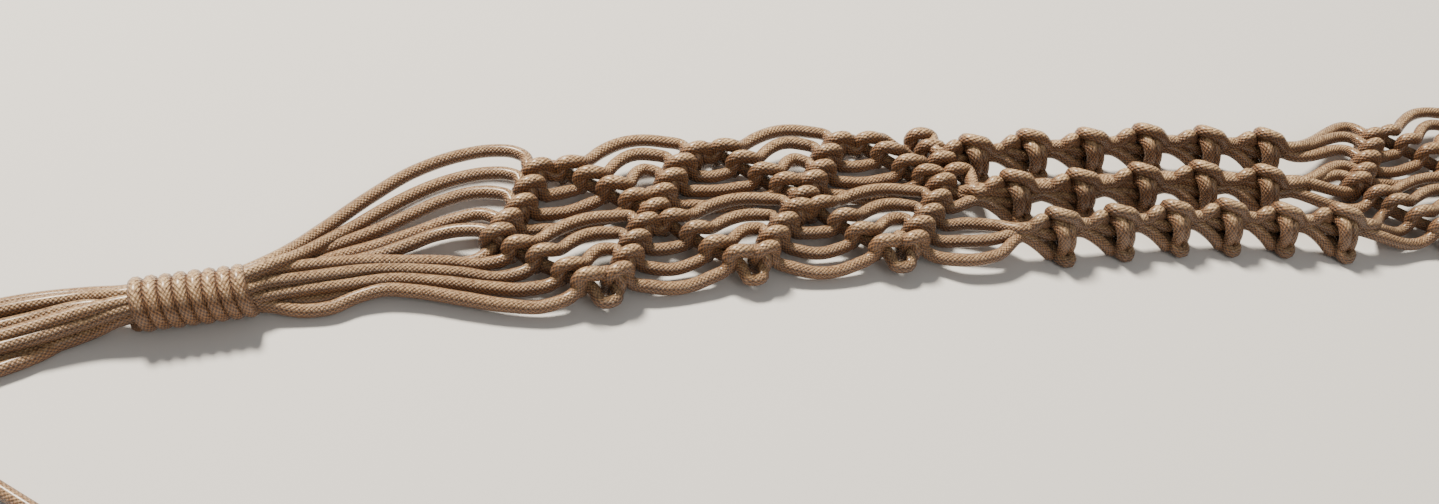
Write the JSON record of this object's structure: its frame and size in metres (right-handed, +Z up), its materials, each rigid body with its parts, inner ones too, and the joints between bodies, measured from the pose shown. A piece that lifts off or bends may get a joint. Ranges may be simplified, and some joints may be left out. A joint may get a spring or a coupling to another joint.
{
  "type": "braided belt",
  "caption": "Narrow knotted cord belt with openwork diamond panels, three-strand links between them, and a wrapped gather with loose tie cords at each end, lying flat.",
  "frame": {"origin": "centre of the belt's box on the surface that it lies on", "axes": "+X along the belt towards its straight end, +Y away from the viewer, +Z up"},
  "size_m": [0.8562, 0.1448, 0.0088],
  "materials": {
    "waxed_cord": "waxed brown cotton cord, satin"
  },
  "bodies": {
    "root": {"tie_ends_left": "waxed_cord", "wrap_left": "waxed_cord", "fan_left": "waxed_cord", "panel_1": "waxed_cord", "sennit_1_back": "waxed_cord", "sennit_1_middle": "waxed_cord", "sennit_1_front": "waxed_cord", "panel_2": "waxed_cord", "sennit_2_back": "waxed_cord", "sennit_2_middle": "waxed_cord", "sennit_2_front": "waxed_cord", "panel_3": "waxed_cord", "sennit_3_back": "waxed_cord", "sennit_3_middle": "waxed_cord", "sennit_3_front": "waxed_cord", "panel_4": "waxed_cord", "fan_right": "waxed_cord", "wrap_right": "waxed_cord", "tie_ends_right": "waxed_cord"}
  },
  "joints": []
}
